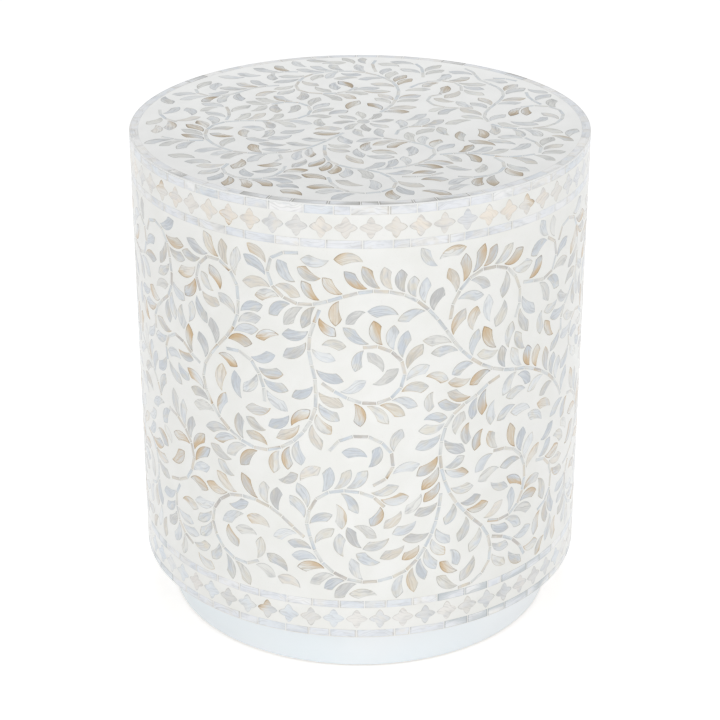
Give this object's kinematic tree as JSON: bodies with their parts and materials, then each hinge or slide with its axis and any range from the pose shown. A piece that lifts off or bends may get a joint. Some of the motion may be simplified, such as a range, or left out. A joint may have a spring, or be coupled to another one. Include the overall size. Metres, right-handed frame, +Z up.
{
  "type": "side table",
  "caption": "Round drum side table with a scrolling leaf inlay of shell in pale resin on its top and side, star borders and a recessed smooth metal plinth.",
  "frame": {"origin": "on the floor at the drum's axis", "axes": "+Z up along the drum's axis, the pictured front faces -Y"},
  "size_m": [0.405, 0.405, 0.45],
  "materials": {
    "fibreboard": "raw fibreboard",
    "plywood": "raw bent plywood",
    "pine": "planed",
    "screw_steel": "zinc plated",
    "lacquered_metal": "satin pale lacquer",
    "nylon": "smooth",
    "resin": "polished off-white resin",
    "shell_blue": "polished pale blue shell",
    "shell_grey": "polished grey shell with fine grain",
    "shell_tan": "polished shell with brown edges"
  },
  "bodies": {
    "root": {"top_panel": "fibreboard", "drum_wall": "plywood", "base_panel": "fibreboard", "posts": "pine", "upper_hoop": "plywood", "middle_hoop": "plywood", "top_screws": "screw_steel", "base_screws": "screw_steel", "plinth_ring": "plywood", "plinth_sleeve": "lacquered_metal", "plinth_blocks": "pine", "plinth_screws": "screw_steel", "glides": "nylon", "side_ground": "resin", "top_resin": "resin", "foot_bead": "resin", "top_border": "shell_blue", "upper_edge_strips": "shell_blue", "upper_stars": "shell_grey", "upper_inner_strips": "shell_blue", "lower_inner_strips": "shell_blue", "lower_stars": "shell_grey", "lower_edge_strips": "shell_blue", "side_stems": "shell_blue", "side_leaves_blue": "shell_blue", "side_leaves_grey": "shell_grey", "side_leaves_tan": "shell_tan", "top_rosette": "shell_grey", "top_stems": "shell_blue", "top_leaves_blue": "shell_blue", "top_leaves_grey": "shell_grey", "top_leaves_tan": "shell_tan"}
  },
  "joints": []
}
